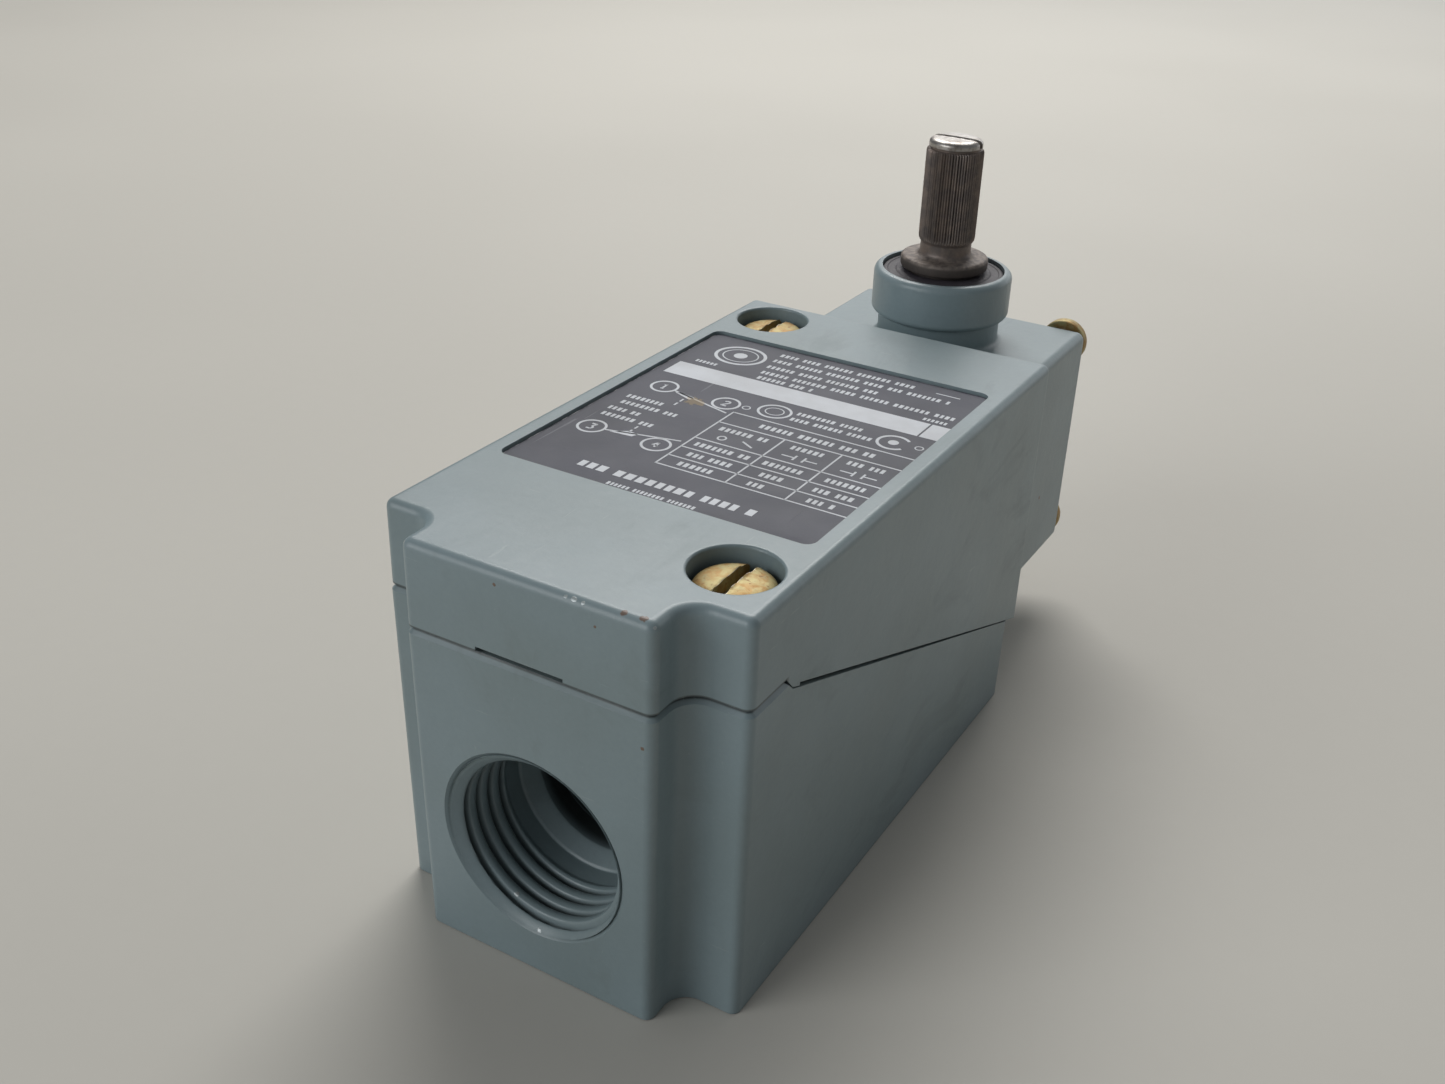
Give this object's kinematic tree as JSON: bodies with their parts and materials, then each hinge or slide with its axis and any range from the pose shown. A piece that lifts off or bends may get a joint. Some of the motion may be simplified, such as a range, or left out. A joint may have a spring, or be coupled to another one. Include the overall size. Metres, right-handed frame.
{
  "type": "limit switch",
  "caption": "Plug-in oil-tight limit switch: wedge-shaped base with threaded conduit entry, switch body with nameplate, and head with a bare knurled rotary shaft.",
  "frame": {"origin": "on the rear mounting face, at the centre of the 29.4 x 59.5 mm screw pattern", "axes": "+Z out of the front nameplate face and along the operating shaft, +Y from the conduit entry towards the operating head, +X to the right seen from the front with the head up"},
  "size_m": [0.042, 0.1077, 0.0678],
  "materials": {
    "housing_paint": "semi-gloss blue-grey enamel on die-cast zinc",
    "nameplate_ink": "charcoal printed aluminium plate",
    "yellow_zinc": "steel with yellow zinc plating",
    "dark_steel": "oil-blackened steel, fine knurl",
    "bright_steel": "bright machined steel",
    "spring_steel": "spring steel wire",
    "bronze": "sintered bronze",
    "black_rubber": "moulded nitrile rubber",
    "phenolic": "moulded phenolic",
    "white_nylon": "moulded nylon",
    "contact_brass": "stamped brass, silver contact tips",
    "green_screw": "green dyed steel"
  },
  "bodies": {
    "base": {"base_housing": "housing_paint", "terminal_block": "phenolic", "receptacle_contacts": "contact_brass", "terminal_clamps": "bright_steel", "terminal_screws": "bright_steel", "terminal_block_screws": "bright_steel", "ground_screw": "green_screw"},
    "switch_body": {"switch_body_housing": "housing_paint", "nameplate": "nameplate_ink", "body_gasket": "black_rubber", "contact_block": "phenolic", "contact_block_cover": "phenolic", "contact_block_screws": "bright_steel", "fixed_contacts_nc": "contact_brass", "fixed_contacts_no": "contact_brass", "plunger_bushing": "bronze", "plunger_seal": "black_rubber", "head_gasket": "black_rubber", "head_housing": "housing_paint", "head_screws": "yellow_zinc", "shaft_bushing": "bronze", "lower_bushing": "bronze", "shaft_seal": "black_rubber", "plunger_return_spring": "spring_steel", "shaft_return_spring": "spring_steel", "carrier_return_spring": "spring_steel"},
    "near_ring": {"captive_ring_near": "spring_steel"},
    "near_screw": {"captive_screw_near": "yellow_zinc"},
    "far_ring": {"captive_ring_far": "spring_steel"},
    "far_screw": {"captive_screw_far": "yellow_zinc"},
    "cam": {"shaft_cam": "bright_steel"},
    "shaft": {"operating_shaft": "dark_steel", "drive_pin": "bright_steel", "cam_retaining_ring": "spring_steel"},
    "follower": {"follower_plunger": "bright_steel"},
    "carrier": {"contact_carrier": "white_nylon", "bridge_nc": "contact_brass", "bridge_no": "contact_brass", "contact_springs": "spring_steel"}
  },
  "joints": [
    {"name": "switch_body_unplug", "type": "slide", "parent": "base", "child": "switch_body", "axis": [0, 0, 1], "range_m": [0, 0.04]},
    {"name": "near_screw_lift", "type": "slide", "parent": "switch_body", "child": "near_ring", "axis": [0, 0, 1], "range_m": [0, 0.00476]},
    {"name": "near_screw_turn", "type": "hinge", "parent": "near_ring", "child": "near_screw", "pos_m": [0.0147, -0.02975, 0], "axis": [0, 0, 1], "range_deg": [0, 2160]},
    {"name": "far_screw_lift", "type": "slide", "parent": "switch_body", "child": "far_ring", "axis": [0, 0, 1], "range_m": [0, 0.00476]},
    {"name": "far_screw_turn", "type": "hinge", "parent": "far_ring", "child": "far_screw", "pos_m": [-0.0147, 0.02975, 0], "axis": [0, 0, 1], "range_deg": [0, 2160]},
    {"name": "cam_turn", "type": "hinge", "parent": "switch_body", "child": "cam", "pos_m": [0, 0.04975, 0.0253], "axis": [0, 0, -1], "range_deg": [0, 80], "stiffness_Nm_per_rad": 0.002, "deforming": ["shaft_return_spring"]},
    {"name": "shaft_turn", "type": "hinge", "parent": "cam", "child": "shaft", "pos_m": [0, 0.04975, 0.0253], "axis": [0, 0, -1], "range_deg": [-80, 0], "stiffness_Nm_per_rad": 0.002},
    {"name": "plunger_slide", "type": "slide", "parent": "switch_body", "child": "follower", "axis": [0, -1, 0], "range_m": [0, 0.0024], "deforming": ["plunger_return_spring"]},
    {"name": "carrier_slide", "type": "slide", "parent": "switch_body", "child": "carrier", "axis": [0, -1, 0], "range_m": [0, 0.00241], "deforming": ["carrier_return_spring"]}
  ],
  "couplings": [
    {"joint": "near_screw_turn", "follows": "near_screw_lift", "rad_per_m": 7915},
    {"joint": "far_screw_turn", "follows": "far_screw_lift", "rad_per_m": 7915},
    {"joint": "cam_turn", "follows": "plunger_slide", "rad_per_m": 581.7},
    {"joint": "carrier_slide", "follows": "plunger_slide", "ratio": 1}
  ]
}
